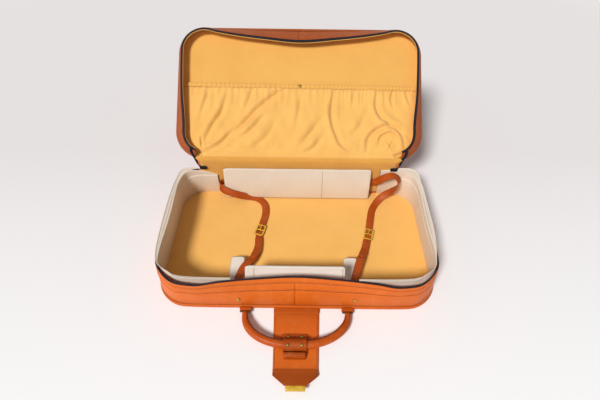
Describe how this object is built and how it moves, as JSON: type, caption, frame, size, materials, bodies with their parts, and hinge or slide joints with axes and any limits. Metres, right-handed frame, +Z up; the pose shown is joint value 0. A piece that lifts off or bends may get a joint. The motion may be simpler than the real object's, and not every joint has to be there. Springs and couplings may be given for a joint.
{
  "type": "leather suitcase",
  "caption": "Soft leather suitcase that opens flat: zipped lid on a leather spine, lined base with straps, gathered lid pocket, closing flap with a hasp and a rolled handle.",
  "frame": {"origin": "middle of the base's underside, on the surface that the suitcase lies on", "axes": "+X to the right and +Y to the back as seen from the handle, where the lid stands open; +Z up"},
  "size_m": [0.5484, 0.6872, 0.2958],
  "materials": {
    "tan_leather": "smooth tan leather, satin",
    "piping_leather": "rolled tan leather, satin",
    "strap_leather": "tan strap leather, satin",
    "yellow_cotton": "plain woven cotton lining, matt",
    "pale_canvas": "stiff woven canvas, matt",
    "black_zip": "black woven zip tape with fine teeth",
    "brass": "polished brass"
  },
  "bodies": {
    "case": {"base_panel": "tan_leather", "base_gusset_left": "tan_leather", "base_gusset_right": "tan_leather", "base_zip_band": "tan_leather", "spine": "tan_leather", "handle_chape_left": "tan_leather", "handle_chape_right": "tan_leather", "base_piping": "piping_leather", "strap_back_left": "strap_leather", "strap_back_right": "strap_leather", "strap_front_left": "strap_leather", "strap_front_right": "strap_leather", "strap_tongue_left": "strap_leather", "strap_tongue_right": "strap_leather", "spine_lining": "yellow_cotton", "floor_board": "yellow_cotton", "collar_left": "pale_canvas", "collar_right": "pale_canvas", "front_tab_left": "pale_canvas", "front_tab_right": "pale_canvas", "base_zip_tape": "black_zip", "zip_end_left": "black_zip", "zip_end_right": "black_zip", "wall_stud_left": "brass", "wall_stud_right": "brass", "buckle_frame_left": "brass", "buckle_frame_right": "brass"},
    "lid": {"lid_panel": "tan_leather", "lid_piping": "piping_leather", "lid_gusset_left": "tan_leather", "lid_gusset_right": "tan_leather", "lid_zip_tape": "black_zip", "lid_lining_board": "yellow_cotton", "lid_wall_lining": "yellow_cotton", "lid_pocket": "yellow_cotton", "pocket_hem": "yellow_cotton", "pocket_snap": "brass", "lock_plate": "brass"},
    "lock_button": {"lock_slide": "brass"},
    "closing_flap": {"flap": "tan_leather", "keeper_tab": "strap_leather", "keeper_strap": "strap_leather", "keeper_roll": "strap_leather", "keeper_tab_stud_left": "brass", "keeper_tab_stud_right": "brass", "keeper_strap_stud_left": "brass", "keeper_strap_stud_right": "brass"},
    "tip": {"flap_tip": "tan_leather", "hasp_plate": "brass"},
    "handle": {"handle_grip": "tan_leather", "handle_pin_left": "brass", "handle_pin_right": "brass"},
    "front_hold_down": {"front_flap": "pale_canvas"},
    "back_hold_down": {"back_flap": "pale_canvas"},
    "prong_left": {"buckle_prong_left": "brass"},
    "prong_right": {"buckle_prong_right": "brass"},
    "slider_left": {"zip_slider_left": "brass"},
    "slider_right": {"zip_slider_right": "brass"},
    "pull_left": {"zip_pull_left": "strap_leather"},
    "pull_right": {"zip_pull_right": "strap_leather"}
  },
  "joints": [
    {"name": "lid_hinge", "type": "hinge", "parent": "case", "child": "lid", "pos_m": [0, 0.15, 0.105], "axis": [1, 0, 0], "range_deg": [0, 143]},
    {"name": "lock_slide_travel", "type": "slide", "parent": "lid", "child": "lock_button", "axis": [1, 0, 0], "range_m": [0, 0.008], "stiffness_N_per_m": 60},
    {"name": "flap_hinge", "type": "hinge", "parent": "case", "child": "closing_flap", "pos_m": [0, -0.16, 0.0085], "axis": [1, 0, 0], "range_deg": [-90, 0]},
    {"name": "tip_hinge", "type": "hinge", "parent": "closing_flap", "child": "tip", "pos_m": [0, -0.264, 0.0035], "axis": [1, 0, 0], "range_deg": [-72, 0]},
    {"name": "handle_hinge", "type": "hinge", "parent": "case", "child": "handle", "pos_m": [0, -0.16, 0.0085], "axis": [1, 0, 0], "range_deg": [-90, 0]},
    {"name": "front_flap_hinge", "type": "hinge", "parent": "case", "child": "front_hold_down", "pos_m": [0, -0.141, 0.0076], "axis": [1, 0, 0], "range_deg": [-12, 12]},
    {"name": "back_flap_hinge", "type": "hinge", "parent": "case", "child": "back_hold_down", "pos_m": [0, 0.125, 0.0076], "axis": [1, 0, 0], "range_deg": [0, 6]},
    {"name": "prong_left_hinge", "type": "hinge", "parent": "case", "child": "prong_left", "pos_m": [-0.0812, 0.02623, 0.014], "axis": [0.9681, -0.2504, 0], "range_deg": [0, 110]},
    {"name": "prong_right_hinge", "type": "hinge", "parent": "case", "child": "prong_right", "pos_m": [0.15178, 0.01823, 0.014], "axis": [0.9613, -0.2756, 0], "range_deg": [0, 110]},
    {"name": "slider_left_travel", "type": "slide", "parent": "case", "child": "slider_left", "axis": [0, -1, 0], "range_m": [0, 0.17]},
    {"name": "slider_right_travel", "type": "slide", "parent": "case", "child": "slider_right", "axis": [0, -1, 0], "range_m": [0, 0.17]},
    {"name": "pull_left_hinge", "type": "hinge", "parent": "slider_left", "child": "pull_left", "pos_m": [-0.2721, 0.085, 0.0674], "axis": [0, 1, 0], "range_deg": [0, 90]},
    {"name": "pull_right_hinge", "type": "hinge", "parent": "slider_right", "child": "pull_right", "pos_m": [0.2721, 0.085, 0.0674], "axis": [0, -1, 0], "range_deg": [0, 90]}
  ],
  "couplings": [
    {"joint": "handle_hinge", "follows": "flap_hinge", "ratio": 1}
  ]
}
